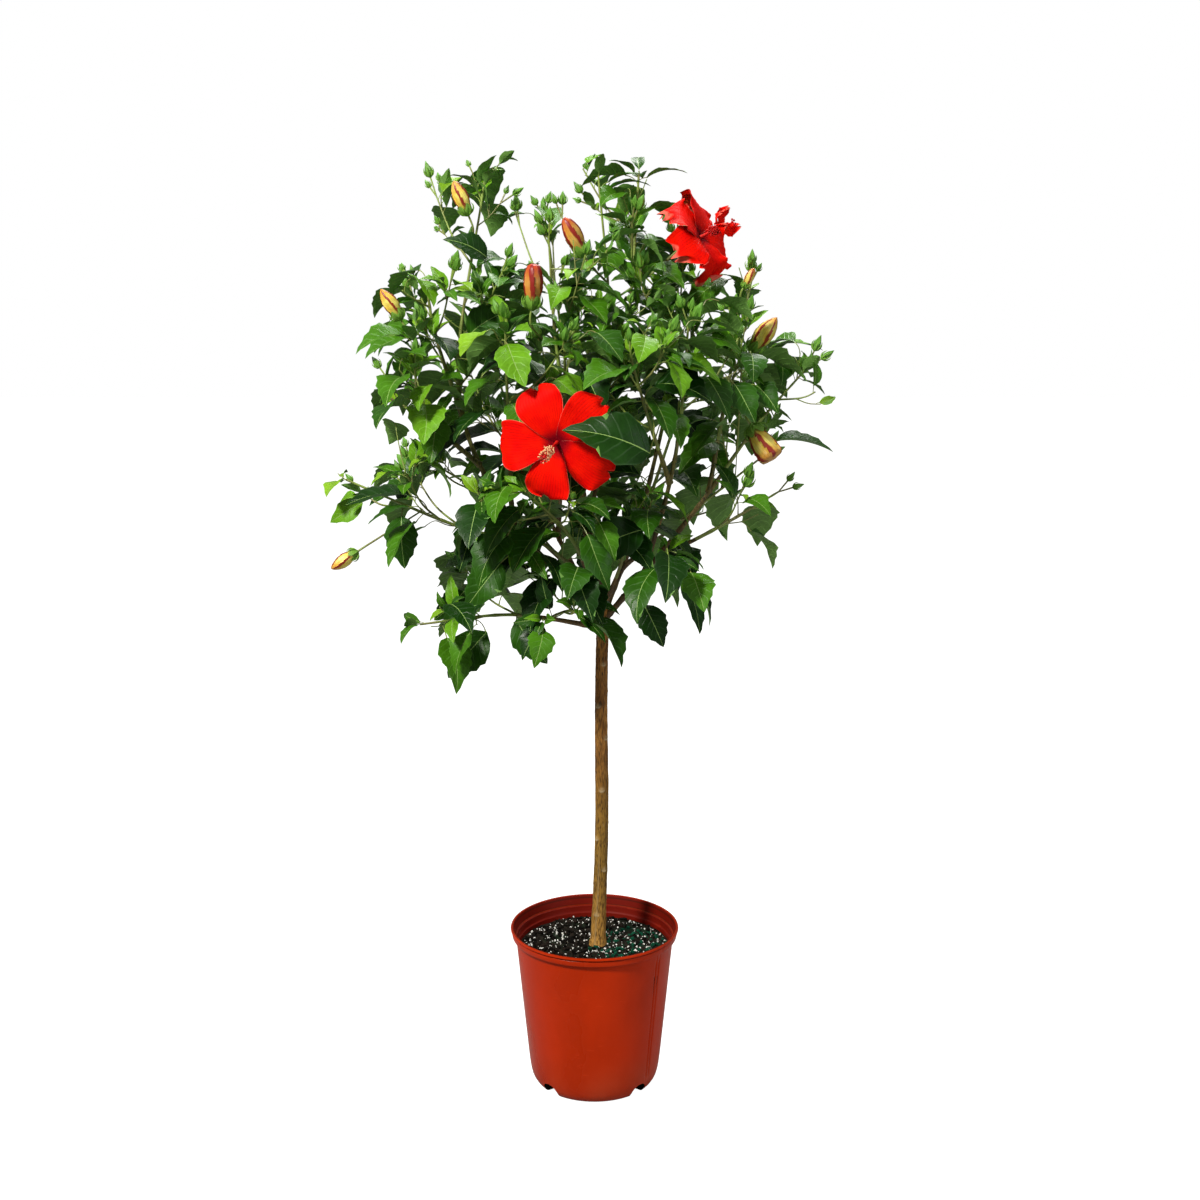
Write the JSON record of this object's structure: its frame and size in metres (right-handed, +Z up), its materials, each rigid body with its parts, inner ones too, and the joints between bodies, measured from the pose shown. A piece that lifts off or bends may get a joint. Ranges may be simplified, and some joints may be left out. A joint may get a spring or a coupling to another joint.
{
  "type": "potted hibiscus shrub",
  "caption": "Red-flowering hibiscus trained as a small standard tree: a bare trunk with an open, leafy, rounded crown, rooted in a round plastic nursery pot filled with soil.",
  "frame": {"origin": "the centre of the pot's flat underside", "axes": "+Z up along the trunk, -Y towards the front of the plant as pictured, +X to its right as seen from the front"},
  "size_m": [0.719, 0.5585, 1.3822],
  "materials": {
    "pot": "satin",
    "soil": "matte",
    "bark": "matte",
    "bough": "matte",
    "leaf": "satin"
  },
  "bodies": {
    "root": {"pot": "pot", "soil": "soil", "trunk": "bark", "bough_centre": "bough", "bough_left": "bough", "bough_right": "bough", "bough_back_left": "bough", "bough_back_right": "bough", "bough_low_left": "bough", "bough_low_front": "bough", "bough_inner_right": "bough", "bough_low_back": "bough", "bough_front": "bough", "bough_inner_front": "bough", "bough_top_right": "bough", "bough_top_left": "bough", "bough_middle": "bough", "bough_top_back": "bough", "bough_left_upper": "bough", "bough_left_middle": "bough", "bough_left_inner": "bough", "bough_far_left": "bough", "bough_right_upper": "bough", "bough_right_low": "bough", "bough_low_right": "bough", "bough_front_right": "bough", "bough_centre_right": "bough", "bough_back_top_right": "bough", "bough_back_low_left": "bough", "bough_back_low_right": "bough", "bough_back_middle": "bough", "foliage_centre": "leaf", "foliage_left": "leaf", "foliage_right": "leaf", "foliage_back_left": "leaf", "foliage_back_right": "leaf", "foliage_low_left": "leaf", "foliage_low_front": "leaf", "foliage_inner_right": "leaf", "foliage_low_back": "leaf", "foliage_front": "leaf", "foliage_inner_front": "leaf", "foliage_top_right": "leaf", "foliage_top_left": "leaf", "foliage_middle": "leaf", "foliage_top_back": "leaf", "foliage_left_upper": "leaf", "foliage_left_middle": "leaf", "foliage_left_inner": "leaf", "foliage_far_left": "leaf", "foliage_right_upper": "leaf", "foliage_right_low": "leaf", "foliage_low_right": "leaf", "foliage_front_right": "leaf", "foliage_centre_right": "leaf", "foliage_back_top_right": "leaf", "foliage_back_low_left": "leaf", "foliage_back_low_right": "leaf", "foliage_back_middle": "leaf"}
  },
  "joints": []
}
